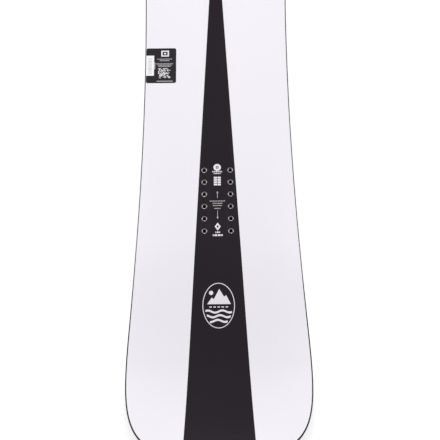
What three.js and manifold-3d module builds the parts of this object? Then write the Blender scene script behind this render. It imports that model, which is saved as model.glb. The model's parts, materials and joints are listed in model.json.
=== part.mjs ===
// A directional snowboard without bindings, 1.43 m long, built up as the real one is: a sintered base
// inside a two-piece wrapping steel edge, damping foil, glass laminates, a wood core of nine glued
// stringers, sidewalls and tip spacers round the core, 24 threaded binding inserts and a topsheet.
//
// Millimetres. +Y runs from tail to nose, +X to the rider's right of the board seen from above with the
// nose away, +Z up. The origin is on the floor under the middle of the board's length.
import * as THREE from "three";
import { mergeVertices } from "three/addons/utils/BufferGeometryUtils.js";
import Module from "manifold-3d";

const wasm = await Module();
wasm.setup();

// ---- Driving dimensions -----------------------------------------------------------------------

// Outline, seen from above.
const BOARD_LENGTH = 1430;
const TAIL_TO_WAIST = 631.5; // tail end to the narrowest place
const WAIST_WIDTH = 230;
const SIDECUT_RADIUS = 5900;
// Each end closes the sidecut as a superellipse quarter: its reach along the board and its exponent.
const TAIL_END = { reach: 241, exponent: 3.96 };
const NOSE_END = { reach: 310, exponent: 2.6 };

// Side view of the running base.
const CAMBER = 4; // height of the base under the feet, board unloaded
const TAIL_CONTACT = 150; // tail end to the middle of the tail's contact line
const NOSE_CONTACT = 255;
const CONTACT_LENGTH = 16; // length that lies flat on the snow at each contact
const TAIL_KICK = { radius: 280, slope: 0.42 }; // curves up at this radius, then runs straight
const NOSE_KICK = { radius: 520, slope: 0.36 };

// Binding inserts: two packs of two columns.
const STANCE = 490; // pack centre to pack centre, centred on the waist
const INSERT_ROWS = 6;
const ROW_PITCH = 20;
const COLUMN_SPACING = 40;
const DECK_MARGIN = 15; // level deck past the outermost insert rows
const INSERT = {
  flangeGap: 3, // clear between the flanges of two rows
  flange: 1.0, // flange thickness
  barrelRadius: 4.7,
  boreRadius: 2.5, // tapping size of an M6 thread
  floor: 0.8, // closed end under the bore
  mouthRadius: 3.5, // countersink at the top
  mouthDepth: 0.7,
  recess: 0.25, // rim under the deck surface
};
const INSERT_SIDES = 10;
const PAD_MARGIN = 3; // insert pad past the flanges

// Layers, from the base up.
const BOND = 0.15; // bond line between two pieces
const BASE = 1.2;
const EDGE_WIDTH = 2; // steel rail, seen from below
const FLANGE = 0.5; // anchor flange thickness
const FLANGE_WIDTH = 4.5;
const NOTCH = { pitch: 60, length: 26, root: 1.4 }; // gaps between the anchor tabs; root stays solid
const FOIL = 0.3;
const FOIL_INSET = 1.2; // damping foil in from the outline
const LAMINATE = 0.5;
const CORE_THICK = 5.6; // between the feet
const CORE_THIN = 1.8; // at the contacts and outwards
const PAD = 0.4;
const TOPSHEET = 0.5;
const SIDEWALL_WIDTH = 8.5;
const SIDEWALL_FOOT_INSET = 0.3; // sidewall's foot in from the outline
const SIDEWALL_BEVEL = 1.3; // how far its top leans in
const LAMINATE_INSET = 0.6;
const TOPSHEET_INSET = 1.7;
const CORE_END_RADIUS = { tail: 128, nose: 150 };
const CORE_TO_TAIL = 62; // core's rounded end in from the board's end
const CORE_TO_NOSE = 80;
const SIDEWALL_END = 20; // sidewalls stop this far inside the contact lines

// Core stringers: the inserts sit in the middle of their own pair.
const STRINGER_WIDTH = 23; // the two bands outside the insert pair

// Labels on the deck, at the left rail beside the waist. The barcode sits in the label's rail side.
const LABEL = { behindWaist: 10.5, length: 63.5, width: 48, thickness: 0.2, corner: 3, railGap: 0.8 };
const BARCODE = { length: 36.5, width: 12.5, clearance: 0.3 };

// Station spacing of the facets.
const DECK_STEPS = 8;
const RAMP_STEPS = 4;
const KICK_STEP = 22;
const TIP_STEPS = 10;
const TIP_FIRST_ANGLE = 25; // degrees on the superellipse
const TIP_LAST_ANGLE = 89;
const LABEL_CORNER_STEPS = 4;

// ---- Heights above the base's underside --------------------------------------------------------

const flangeBottom = BASE + BOND;
const edgeTop = flangeBottom + FLANGE;
const foilBottom = edgeTop + BOND;
const foilTop = foilBottom + FOIL;
const lowerTop = foilTop + BOND + LAMINATE;
const coreBottom = lowerTop + BOND;
const padTop = coreBottom + PAD;
const insertFoot = padTop + BOND;

// ---- Places along the board --------------------------------------------------------------------

const tailY = -BOARD_LENGTH / 2;
const noseY = BOARD_LENGTH / 2;
const waistY = tailY + TAIL_TO_WAIST;
const packY = { rear: waistY - STANCE / 2, front: waistY + STANCE / 2 };
const packReach = ((INSERT_ROWS - 1) * ROW_PITCH) / 2;
const deckTailY = packY.rear - packReach - DECK_MARGIN;
const deckNoseY = packY.front + packReach + DECK_MARGIN;
const tailContactY = tailY + TAIL_CONTACT;
const noseContactY = noseY - NOSE_CONTACT;
const labelY = waistY - LABEL.behindWaist;
const edgeInner = EDGE_WIDTH + FLANGE_WIDTH;
const coreInset = SIDEWALL_FOOT_INSET + SIDEWALL_WIDTH;
const flangeRadius = (ROW_PITCH - INSERT.flangeGap) / 2;

const radians = THREE.MathUtils.degToRad;
const smooth = (t) => t * t * (3 - 2 * t);
const share = (y, from, to) => THREE.MathUtils.clamp((y - from) / (to - from), 0, 1);
const vector = ([x, y]) => new THREE.Vector2(x, y);

// Height of a kick at a distance past its contact: an arc, then a straight run at the full slope.
function kickHeight({ radius, slope }, distance) {
  const arc = Math.min(distance, slope * radius);
  return (arc * arc) / (2 * radius) + slope * (distance - arc);
}

// Height of the base's underside over the floor.
function baseHeight(y) {
  const tailEdge = tailContactY - CONTACT_LENGTH / 2;
  const tailRamp = tailContactY + CONTACT_LENGTH / 2;
  const noseRamp = noseContactY - CONTACT_LENGTH / 2;
  const noseEdge = noseContactY + CONTACT_LENGTH / 2;
  if (y < tailEdge) return kickHeight(TAIL_KICK, tailEdge - y);
  if (y < tailRamp) return 0;
  if (y < deckTailY) return CAMBER * smooth((y - tailRamp) / (deckTailY - tailRamp));
  if (y < deckNoseY) return CAMBER;
  if (y < noseRamp) return CAMBER * smooth((noseRamp - y) / (noseRamp - deckNoseY));
  if (y < noseEdge) return 0;
  return kickHeight(NOSE_KICK, y - noseEdge);
}

// Core thickness, full between the feet and thin from the contacts out.
function coreThickness(y) {
  const full = CORE_THICK - CORE_THIN;
  if (y < deckTailY) return CORE_THIN + full * smooth(share(y, tailContactY, deckTailY));
  if (y > deckNoseY) return CORE_THIN + full * smooth(share(y, noseContactY, deckNoseY));
  return CORE_THICK;
}

// ---- Outline -----------------------------------------------------------------------------------

const sidecutHalf = (y) => WAIST_WIDTH / 2 + (y - waistY) ** 2 / (2 * SIDECUT_RADIUS);

// Half width at y, ends included.
function outlineHalf(y) {
  const [end, tip] = y < waistY ? [TAIL_END, tailY] : [NOSE_END, noseY];
  const t = Math.max(0, 1 - Math.abs(tip - y) / end.reach);
  return sidecutHalf(y) * (1 - t ** end.exponent) ** (1 / end.exponent);
}

// Outline points round one end, from the side to the middle of the tip.
function tipPoints(end, tip) {
  const power = 2 / end.exponent;
  const toward = Math.sign(tip);
  const points = [];
  for (let i = 0; i <= TIP_STEPS; i++) {
    const angle = radians(
      TIP_FIRST_ANGLE + ((TIP_LAST_ANGLE - TIP_FIRST_ANGLE) * i) / TIP_STEPS,
    );
    const y = tip - toward * end.reach * (1 - Math.sin(angle) ** power);
    points.push(new THREE.Vector2(sidecutHalf(y) * Math.cos(angle) ** power, y));
  }
  points.push(new THREE.Vector2(0, tip));
  return points;
}

const evenly = (from, to, steps) =>
  Array.from({ length: steps + 1 }, (_, i) => from + ((to - from) * i) / steps);

// The outline's right half from the tail's middle to the nose's middle. Each point also has the
// direction in which an inset moves it: straight across along the sides, square to the outline at
// the ends.
function makeContour() {
  const tail = tipPoints(TAIL_END, tailY).reverse();
  const nose = tipPoints(NOSE_END, noseY);
  const sideFrom = tail.at(-1).y;
  const sideTo = nose[0].y;
  const tailEdge = tailContactY - CONTACT_LENGTH / 2;
  const noseEdge = noseContactY + CONTACT_LENGTH / 2;
  const side = [
    ...evenly(sideFrom, tailEdge, Math.ceil((tailEdge - sideFrom) / KICK_STEP)).slice(1),
    ...evenly(tailEdge + CONTACT_LENGTH, deckTailY, RAMP_STEPS),
    ...evenly(deckTailY, deckNoseY, DECK_STEPS).slice(1),
    ...evenly(deckNoseY, noseEdge - CONTACT_LENGTH, RAMP_STEPS).slice(1),
    ...evenly(noseEdge, sideTo, Math.ceil((sideTo - noseEdge) / KICK_STEP)).slice(0, -1),
  ].map((y) => new THREE.Vector2(outlineHalf(y), y));
  const all = [...tail, ...side, ...nose];
  return all.map((point, i) => {
    if (point.x === 0) return { point, inward: new THREE.Vector2(0, -Math.sign(point.y)) };
    const along = all[i + 1].clone().sub(all[i - 1]).normalize();
    const inward = new THREE.Vector2(-along.y, along.x);
    return { point, inward: side.includes(point) ? new THREE.Vector2(1 / inward.x, 0) : inward };
  });
}

const contour = makeContour();
const stations = contour.map(({ point }) => point.y);
const insetPoint = ({ point, inward }, inset) => inward.clone().multiplyScalar(inset).add(point);

// A height profile drawn straight between the stations, so that all layers share their facets.
function drawn(profile) {
  const heights = stations.map(profile);
  return (y) => {
    const at = stations.findIndex((s) => s >= y);
    const i = THREE.MathUtils.clamp(at < 0 ? stations.length : at, 2, stations.length - 2);
    const t = (y - stations[i - 1]) / (stations[i] - stations[i - 1]);
    return heights[i - 1] + t * (heights[i] - heights[i - 1]);
  };
}
const underside = drawn(baseHeight);
const coreDepth = drawn(coreThickness);
const overBase = (height) => (y) => underside(y) + height;
const overCore = (height) => (y) => underside(y) + coreBottom + coreDepth(y) + height;
const upperBottom = overCore(BOND);
const upperTop = overCore(BOND + LAMINATE);
const topBottom = overCore(2 * BOND + LAMINATE);
const topTop = overCore(2 * BOND + LAMINATE + TOPSHEET);

// ---- Solids ------------------------------------------------------------------------------------

// A closed three.js geometry as a solid that can be joined and cut.
function solid(geometry) {
  const bare = geometry.clone();
  bare.deleteAttribute("normal");
  bare.deleteAttribute("uv");
  const merged = mergeVertices(bare, 1e-4);
  return new wasm.Manifold(
    new wasm.Mesh({
      numProp: 3,
      vertProperties: new Float32Array(merged.attributes.position.array),
      triVerts: new Uint32Array(merged.index.array),
    }),
  );
}

// A solid as a flat-shaded three.js geometry.
function geometryOf(made) {
  const { numProp, vertProperties, triVerts } = made.getMesh();
  const position = new Float32Array(triVerts.length * 3);
  triVerts.forEach((v, i) => {
    position.set(vertProperties.subarray(v * numProp, v * numProp + 3), i * 3);
  });
  const geometry = new THREE.BufferGeometry();
  geometry.setAttribute("position", new THREE.BufferAttribute(position, 3));
  geometry.computeVertexNormals();
  return geometry;
}

// A solid through rings of [x, y, z] points, capped at both ends. Each ring is anticlockwise seen from
// the tail, and so is the flat outline that says how a cap is divided.
function loft(rings, capOutline) {
  const n = rings[0].length;
  const triangles = [];
  for (let r = 0; r + 1 < rings.length; r++) {
    for (let j = 0; j < n; j++) {
      const a = r * n + j;
      const b = r * n + ((j + 1) % n);
      triangles.push(a, b + n, b, a, a + n, b + n);
    }
  }
  const last = (rings.length - 1) * n;
  for (const [a, b, c] of THREE.ShapeUtils.triangulateShape(capOutline, [])) {
    triangles.push(a, b, c, last + a, last + c, last + b);
  }
  return new wasm.Manifold(
    new wasm.Mesh({
      numProp: 3,
      vertProperties: new Float32Array(rings.flat(2)),
      triVerts: new Uint32Array(triangles),
    }),
  );
}

// A layer across the whole board between two heights, its rim at one inset below and one above.
function layer(lowInset, highInset, low, high) {
  const rings = contour
    .filter(({ point }) => point.x > 0)
    .map((at) => {
      const foot = insetPoint(at, lowInset);
      const head = insetPoint(at, highInset);
      return [
        [-foot.x, foot.y, low(foot.y)],
        [foot.x, foot.y, low(foot.y)],
        [head.x, head.y, high(head.y)],
        [-head.x, head.y, high(head.y)],
      ];
    });
  return loft(rings, [[-1, 0], [1, 0], [1, 1], [-1, 1]].map(vector));
}

// A bar along one side of the outline, through [inset, height] corners that are anticlockwise for
// the right side seen from the tail. side is 1 for the right and -1 for the left.
function railBar(side, corners) {
  const ordered = side > 0 ? corners : corners.toReversed();
  const rings = contour.map((at) =>
    ordered.map(([inset, height]) => {
      const { x, y } = insetPoint(at, inset);
      return [side * Math.max(x, BOND / 2), y, underside(y) + height];
    }),
  );
  return loft(rings, ordered.map(([inset, height]) => vector([-side * inset, height])));
}

function box(x0, x1, y0, y1, z0, z1) {
  const geometry = new THREE.BoxGeometry(x1 - x0, y1 - y0, z1 - z0);
  return solid(geometry.translate((x0 + x1) / 2, (y0 + y1) / 2, (z0 + z1) / 2));
}

function cylinder(radius, x, y, z0, z1) {
  const geometry = new THREE.CylinderGeometry(radius, radius, z1 - z0, INSERT_SIDES);
  return solid(geometry.rotateX(Math.PI / 2).translate(x, y, (z0 + z1) / 2));
}

function plate(shape, z0, z1, curveSegments = 12) {
  const depth = z1 - z0;
  const geometry = new THREE.ExtrudeGeometry(shape, { depth, bevelEnabled: false, curveSegments });
  return solid(geometry.translate(0, 0, z0));
}

const FAR = BOARD_LENGTH; // past the board in every direction
const joined = (solids) => solids.reduce((all, next) => all.add(next));

// ---- Inserts -----------------------------------------------------------------------------------

const deckHeight = CAMBER;
const packs = Object.entries(packY);
const insertPlaces = packs.flatMap(([pack, y]) =>
  Array.from({ length: INSERT_ROWS }, (_, row) => row).flatMap((row) =>
    [-1, 1].map((side) => ({
      name: `insert_${pack}_${side < 0 ? "left" : "right"}_${row + 1}`,
      x: (side * COLUMN_SPACING) / 2,
      y: y - packReach + row * ROW_PITCH,
    })),
  ),
);
const insertTop = topTop(packY.rear) - INSERT.recess;

function insertProfile() {
  const foot = deckHeight + insertFoot;
  const { flange, barrelRadius, boreRadius, floor, mouthRadius, mouthDepth } = INSERT;
  return [
    [0, foot],
    [flangeRadius, foot],
    [flangeRadius, foot + flange],
    [barrelRadius, foot + flange],
    [barrelRadius, insertTop],
    [mouthRadius, insertTop],
    [boreRadius, insertTop - mouthDepth],
    [boreRadius, foot + floor],
    [0, foot + floor],
  ].map(([r, z]) => new THREE.Vector2(r, z));
}

function insertSolid({ x, y }) {
  const geometry = new THREE.LatheGeometry(insertProfile(), INSERT_SIDES);
  return solid(geometry.rotateX(Math.PI / 2).translate(x, y, 0));
}

// The barrel's clearance holes, through everything over the flange.
const barrelHoles = joined(
  insertPlaces.map(({ x, y }) => cylinder(INSERT.barrelRadius + BOND, x, y, 0, FAR)),
);
const flangeSeats = joined(
  insertPlaces.map(({ x, y }) => {
    const seatTop = deckHeight + insertFoot + INSERT.flange + BOND;
    return cylinder(flangeRadius + BOND, x, y, 0, seatTop);
  }),
);

// The pad under a pack's flanges, and its pocket in the core.
const padHalfX = COLUMN_SPACING / 2 + flangeRadius + PAD_MARGIN;
const padHalfY = packReach + flangeRadius + PAD_MARGIN;
function padBox(y, grow, z0, z1) {
  const [halfX, halfY] = [padHalfX + grow, padHalfY + grow];
  return box(-halfX, halfX, y - halfY, y + halfY, z0, z1);
}

// ---- Layers ------------------------------------------------------------------------------------

const baseSheet = () =>
  layer(EDGE_WIDTH + BOND, EDGE_WIDTH + BOND, overBase(0), overBase(BASE));

// Gaps between the anchor tabs of one edge, spaced along the outline.
function edgeNotches(side) {
  const notches = [];
  const depth = FLANGE_WIDTH - NOTCH.root;
  let toNext = NOTCH.pitch / 2;
  for (let i = 1; i < contour.length; i++) {
    const from = contour[i - 1].point;
    const run = contour[i].point.clone().sub(from);
    const length = run.length();
    const along = run.clone().divideScalar(length);
    for (; toNext < length; toNext += NOTCH.pitch) {
      const centre = from.clone().addScaledVector(along, toNext);
      const inset = edgeInner - depth / 2 + BOND;
      centre.add(new THREE.Vector2(-along.y, along.x).multiplyScalar(inset));
      const geometry = new THREE.BoxGeometry(depth + 2 * BOND, NOTCH.length, FAR);
      geometry.rotateZ(side * Math.atan2(-along.x, along.y));
      notches.push(solid(geometry.translate(side * centre.x, centre.y, 0)));
    }
    toNext -= length;
  }
  return joined(notches);
}

const edge = (side) =>
  railBar(side, [
    [EDGE_WIDTH, 0],
    [0, 0],
    [0, edgeTop],
    [edgeInner, edgeTop],
    [edgeInner, flangeBottom],
    [EDGE_WIDTH, flangeBottom],
  ]).subtract(edgeNotches(side));

const dampingFoil = (side) =>
  railBar(side, [
    [edgeInner, foilBottom],
    [FOIL_INSET, foilBottom],
    [FOIL_INSET, foilTop],
    [edgeInner, foilTop],
  ]);

// Full width over the edge, and filled down to the base inside it.
function lowerLaminate() {
  const inside = edgeInner + BOND;
  const plug = layer(inside, inside, overBase(BASE + BOND), overBase(lowerTop));
  const sheet = layer(LAMINATE_INSET, LAMINATE_INSET, overBase(foilTop + BOND), overBase(lowerTop));
  return plug.add(sheet);
}

const upperLaminate = () => {
  const inset = SIDEWALL_FOOT_INSET + SIDEWALL_BEVEL;
  return layer(inset, inset, upperBottom, upperTop).subtract(barrelHoles);
};

const topsheet = () =>
  layer(TOPSHEET_INSET, TOPSHEET_INSET, topBottom, topTop).subtract(barrelHoles);

// The core's plan: parallel sides past the outline, and a round end at the tail and at the nose.
function coreBlank(grow) {
  const tailEnd = tailY + CORE_TO_TAIL - grow;
  const noseEnd = noseY - CORE_TO_NOSE + grow;
  const [tailR, noseR] = [CORE_END_RADIUS.tail + grow, CORE_END_RADIUS.nose + grow];
  const shape = new THREE.Shape();
  shape.absarc(0, tailEnd + tailR, tailR, Math.PI, 2 * Math.PI, false);
  shape.absarc(0, noseEnd - noseR, noseR, 0, Math.PI, false);
  const inset = coreInset - grow;
  const slab = layer(inset, inset, overBase(coreBottom - grow), overCore(grow));
  return slab.intersect(plate(shape, -FAR, FAR));
}

// Core pieces, cut from one blank so that they meet along the bond lines.
function coreStringers() {
  const pockets = joined(packs.map(([, y]) => padBox(y, BOND, 0, deckHeight + insertFoot)));
  const blank = coreBlank(0).subtract(barrelHoles).subtract(flangeSeats).subtract(pockets);
  const seat = flangeRadius + 2 * BOND;
  const inner = COLUMN_SPACING / 2 - seat;
  const outer = COLUMN_SPACING / 2 + seat;
  const bands = [
    ["core_stringer_centre", -inner, inner],
    ...[-1, 1].flatMap((side) => {
      const name = side < 0 ? "left" : "right";
      const edges = [inner, outer, outer + STRINGER_WIDTH, outer + 2 * STRINGER_WIDTH, FAR];
      return ["insert", "inner", "middle", "outer"].map((band, i) => {
        const [x0, x1] = [side * edges[i], side * edges[i + 1]];
        return [`core_stringer_${name}_${band}`, Math.min(x0, x1), Math.max(x0, x1)];
      });
    }),
  ];
  return bands.map(([name, x0, x1]) => [
    name,
    blank.intersect(box(x0 + BOND / 2, x1 - BOND / 2, -FAR, FAR, -FAR, FAR)),
  ]);
}

// Sidewalls along the running length and spacers round the core's ends, cut from one frame.
function rimPieces() {
  const lean = SIDEWALL_FOOT_INSET + SIDEWALL_BEVEL;
  const frame = layer(SIDEWALL_FOOT_INSET, lean, overBase(coreBottom), overCore(0)).subtract(
    coreBlank(BOND),
  );
  const tailJoint = tailContactY + SIDEWALL_END;
  const noseJoint = noseContactY - SIDEWALL_END;
  const half = BOND / 2;
  const cut = (x0, x1, y0, y1) => frame.intersect(box(x0, x1, y0, y1, -FAR, FAR));
  return [
    ["sidewall_left", cut(-FAR, 0, tailJoint + half, noseJoint - half)],
    ["sidewall_right", cut(0, FAR, tailJoint + half, noseJoint - half)],
    ["tip_spacer_tail", cut(-FAR, FAR, -FAR, tailJoint - half)],
    ["tip_spacer_nose", cut(-FAR, FAR, noseJoint + half, FAR)],
  ];
}

// ---- Labels ------------------------------------------------------------------------------------

// The label's outline, with a notch in its rail side for the barcode strip.
function labelShape() {
  const left = -outlineHalf(labelY) + TOPSHEET_INSET + LABEL.railGap;
  const right = left + LABEL.width;
  const [low, high] = [labelY - LABEL.length / 2, labelY + LABEL.length / 2];
  const notch = BARCODE.length / 2 + BARCODE.clearance;
  const depth = left + BARCODE.width + BARCODE.clearance;
  const r = LABEL.corner;
  const shape = new THREE.Shape();
  shape.moveTo(left, low + r);
  shape.absarc(left + r, low + r, r, Math.PI, 1.5 * Math.PI, false);
  shape.absarc(right - r, low + r, r, -0.5 * Math.PI, 0, false);
  shape.absarc(right - r, high - r, r, 0, 0.5 * Math.PI, false);
  shape.absarc(left + r, high - r, r, 0.5 * Math.PI, Math.PI, false);
  shape.lineTo(left, labelY + notch);
  shape.lineTo(depth, labelY + notch);
  shape.lineTo(depth, labelY - notch);
  shape.lineTo(left, labelY - notch);
  return shape;
}

function labels() {
  const z0 = topTop(labelY) + BOND;
  const z1 = z0 + LABEL.thickness;
  const left = -outlineHalf(labelY) + TOPSHEET_INSET + LABEL.railGap;
  const half = BARCODE.length / 2;
  return [
    ["care_label", plate(labelShape(), z0, z1, LABEL_CORNER_STEPS)],
    [
      "barcode_label",
      box(left, left + BARCODE.width, labelY - half, labelY + half, z0, z1),
    ],
  ];
}

// ---- Assembly ----------------------------------------------------------------------------------

const finish = (color, roughness, metalness = 0) =>
  new THREE.MeshStandardMaterial({ color, roughness, metalness });
const material = {
  base: finish(0x1c1c1f, 0.45),
  steel: finish(0xb9bcc0, 0.35, 1),
  rubber: finish(0x232325, 0.8),
  glass: finish(0xd9dcc8, 0.5),
  softwood: finish(0xd8b98a, 0.65),
  hardwood: finish(0xb98a55, 0.65),
  sidewall: finish(0x1a1a1c, 0.5),
  pad: finish(0x2b3a33, 0.7),
  insert: finish(0x9a9ca0, 0.3, 1),
  topsheet: finish(0xf3f4fa, 0.3),
  label: finish(0x2c2b2e, 0.55),
  barcode: finish(0xf2f2f2, 0.6),
};

const board = new THREE.Group();
function place(name, made, finished) {
  const mesh = new THREE.Mesh(geometryOf(made), finished);
  mesh.name = name;
  board.add(mesh);
}

place("base_sheet", baseSheet(), material.base);
for (const [name, side] of [["left", -1], ["right", 1]]) {
  place(`edge_${name}`, edge(side), material.steel);
  place(`damping_foil_${name}`, dampingFoil(side), material.rubber);
}
place("lower_laminate", lowerLaminate(), material.glass);
for (const [name, made] of coreStringers()) {
  place(name, made, name.endsWith("insert") ? material.hardwood : material.softwood);
}
for (const [name, made] of rimPieces()) place(name, made, material.sidewall);
for (const [pack, y] of packs) {
  const z0 = deckHeight + coreBottom;
  place(`insert_pad_${pack}`, padBox(y, 0, z0, z0 + PAD), material.pad);
}
for (const at of insertPlaces) place(at.name, insertSolid(at), material.insert);
place("upper_laminate", upperLaminate(), material.glass);
place("topsheet", topsheet(), material.topsheet);
for (const [name, made] of labels()) {
  place(name, made, name === "care_label" ? material.label : material.barcode);
}

export default board;
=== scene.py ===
"""A directional snowboard without bindings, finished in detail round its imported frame.

Metres, in the frame's own axes: +Y from tail to nose, +X to the right, +Z up out of the deck.
"""
import json
import math
import random

import bmesh
import bpy
import numpy as np
from mathutils import Matrix, Vector
from mathutils.geometry import delaunay_2d_cdt


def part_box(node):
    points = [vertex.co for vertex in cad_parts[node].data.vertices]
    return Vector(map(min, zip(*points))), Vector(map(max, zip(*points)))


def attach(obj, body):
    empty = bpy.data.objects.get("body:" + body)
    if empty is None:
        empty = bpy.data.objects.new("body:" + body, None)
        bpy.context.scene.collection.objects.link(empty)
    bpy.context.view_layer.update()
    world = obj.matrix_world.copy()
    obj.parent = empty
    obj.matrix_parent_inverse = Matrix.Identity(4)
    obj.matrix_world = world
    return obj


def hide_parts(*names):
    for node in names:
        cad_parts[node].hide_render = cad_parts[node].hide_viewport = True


bl_info = {
    "name": "Snowboard",
    "version": (1, 0, 0),
    "blender": (4, 5, 0),
    "location": "View3D > Sidebar > Snowboard",
    "description": "Builds a bare snowboard in detail round its packed frame",
    "category": "Add Mesh",
}

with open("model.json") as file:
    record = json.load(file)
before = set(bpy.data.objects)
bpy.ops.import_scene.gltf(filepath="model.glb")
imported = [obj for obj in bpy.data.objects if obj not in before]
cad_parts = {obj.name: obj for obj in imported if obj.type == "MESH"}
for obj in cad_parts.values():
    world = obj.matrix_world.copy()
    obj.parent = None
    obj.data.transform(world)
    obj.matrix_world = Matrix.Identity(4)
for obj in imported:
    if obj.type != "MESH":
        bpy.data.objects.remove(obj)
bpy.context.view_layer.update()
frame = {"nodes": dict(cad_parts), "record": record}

MM = 0.001
MOUNTS = {mount["name"]: Vector(mount["pos_m"]) for mount in frame["record"]["mounts"]}
TIP_Y = {"tail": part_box("edge_left")[0].y, "nose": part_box("edge_left")[1].y}
CONTACT_Y = {"tail": MOUNTS["running_base_tail"].y, "nose": MOUNTS["running_base_nose"].y}
PACK_Y = {"rear": MOUNTS["binding_deck_rear"].y, "front": MOUNTS["binding_deck_front"].y}
JOINT_Y = {"tail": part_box("sidewall_left")[0].y, "nose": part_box("sidewall_left")[1].y}
WAIST_Y = (PACK_Y["rear"] + PACK_Y["front"]) / 2
DECK_Z = MOUNTS["binding_deck_rear"].z
FORWARD = {"tail": -1, "nose": 1}  # from the waist towards each end
SIDES = {"left": -1, "right": 1}
LABEL_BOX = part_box("care_label")
BARCODE_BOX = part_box("barcode_label")
INSERT_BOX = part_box("insert_rear_left_1")
HOLE_SIDES = 48
BASE_JOINT = 0.03 * MM  # between the base sheet and the steel edges
SOFTBOXES = {  # place, width and height in metres, and the setting that holds the power
    "softbox_left": ((-1.7, 0.45, 1.5), (1.2, 2.4), "side_power"),
    "softbox_right": ((1.7, 0.45, 1.5), (1.2, 2.4), "side_power"),
    "softbox_nose": ((0, 2.7, 1.1), (1.4, 0.45), "nose_power"),
}


# ---- Settings ----------------------------------------------------------------------------------


def size(name, description, millimetres):
    """A length in metres, with its default in millimetres."""
    return bpy.props.FloatProperty(
        name=name, description=description, default=millimetres * MM, unit="LENGTH", precision=5
    )


def number(name, description, default):
    """A number without a unit."""
    return bpy.props.FloatProperty(name=name, description=description, default=default, precision=4)


def colour(name, description, default):
    """A linear colour without alpha."""
    return bpy.props.FloatVectorProperty(
        name=name, description=description, default=default, size=3, min=0.0, max=1.0,
        subtype="COLOR",
    )


def angle(name, description, degrees):
    """An angle, with its default in degrees."""
    return bpy.props.FloatProperty(
        name=name, description=description, default=math.radians(degrees), subtype="ANGLE",
        unit="ROTATION", precision=4,
    )


class SNOWBOARD_PG_outline(bpy.types.PropertyGroup):
    """The board's plan and side view"""

    waist_width: size("Waist width", "Width at the narrowest place", 230)
    sidecut_radius: size("Sidecut radius", "Radius of the sides", 5900)
    tail_reach: size("Tail reach", "Length over which the tail closes the sides", 241)
    nose_reach: size("Nose reach", "Length over which the nose closes the sides", 310)
    tail_squareness: number("Tail squareness", "Superellipse exponent of the tail", 3.96)
    nose_squareness: number("Nose squareness", "Superellipse exponent of the nose", 2.6)
    camber: size("Camber", "Height of the base under the feet", 4)
    contact_length: size("Contact length", "Flat length of the base at each contact", 16)
    deck_margin: size("Deck margin", "Level deck from each pack's middle outwards", 65)
    tail_kick_radius: size("Tail kick radius", "Radius of the tail's rise", 280)
    nose_kick_radius: size("Nose kick radius", "Radius of the nose's rise", 520)
    tail_slope: number("Tail slope", "Slope where the tail's rise runs straight", 0.42)
    nose_slope: number("Nose slope", "Slope where the nose's rise runs straight", 0.36)
    step: size("Outline step", "Spacing of the points along the outline", 4)


class SNOWBOARD_PG_layers(bpy.types.PropertyGroup):
    """Thicknesses and insets of the layers. Heights are over the base's underside"""

    core_thick: size("Core thickness", "Core between the feet", 5.6)
    core_thin: size("Core tip thickness", "Core at the contacts and outwards", 1.8)
    base_top: size("Base", "Top of the base sheet", 1.25)
    flange_foot: size("Flange foot", "Underside of the steel's anchor flange", 1.35)
    steel_top: size("Steel top", "Top of the steel edge", 1.95)
    foil_top: size("Foil top", "Underside of the lower laminate over the foil", 2.38)
    laminate_top: size("Lower laminate top", "Top of the lower laminate", 3.0)
    wall_foot: size("Sidewall foot", "Foot of the sidewall", 3.04)
    skin: size("Skin", "Thickness of the upper laminate, and of the topsheet", 0.62)
    steel_width: size("Edge width", "Steel edge, seen from below", 2)
    flange_root: size("Flange root", "Solid part of the anchor flange", 1.4)
    tab_length: size("Tab length", "Anchor tab along the edge", 34)
    tab_depth: size("Tab depth", "Anchor tab beyond the root", 3.1)
    tab_pitch: size("Tab pitch", "From one anchor tab to the next", 60)
    foil_inset: size("Foil inset", "Lower laminate's step round the damping foil", 6.7)
    laminate_inset: size("Laminate inset", "Lower laminate in from the outline", 0.6)
    foot_inset: size("Foot inset", "Sidewall's foot in from the outline", 0.3)
    bevel_inset: size("Bevel inset", "Sidewall's top in from the outline", 2.2)
    topsheet_inset: size("Topsheet inset", "Topsheet in from the outline", 2.3)
    wall_depth: size("Wall depth", "Sidewall's inner face in from the outline", 8.65)
    core_to_tail: size("Core to tail", "Core's round end in from the tail", 62)
    core_to_nose: size("Core to nose", "Core's round end in from the nose", 80)
    core_tail_radius: size("Core tail radius", "Radius of the core's tail end", 128)
    core_nose_radius: size("Core nose radius", "Radius of the core's nose end", 150)
    rim_round: size("Rim rounding", "Rounding of the topsheet's rim", 0.3)
    ease: size("Ease", "Small chamfer on hard corners", 0.12)
    gap: size("Gap", "Clearance between neighbouring pieces", 0.15)


class SNOWBOARD_PG_insert(bpy.types.PropertyGroup):
    """Sizes of one threaded insert"""

    hole: size("Deck hole", "Radius of the hole through topsheet and upper laminate", 4.3)
    barrel: size("Barrel", "Radius of the barrel", 4.2)
    flange: size("Flange", "Radius of the flange", 8.4)
    flange_height: size("Flange height", "Thickness of the flange", 1.0)
    mouth: size("Mouth", "Outer radius of the countersunk mouth", 3.85)
    mouth_depth: size("Mouth depth", "Depth of the countersunk mouth", 0.45)
    major: size("Major radius", "Radius at the thread's root", 3.0)
    minor: size("Minor radius", "Radius at the thread's crest", 2.5)
    pitch: size("Pitch", "Pitch of the thread", 1.0)
    floor: size("Floor", "Thickness under the blind bore", 0.8)


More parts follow.
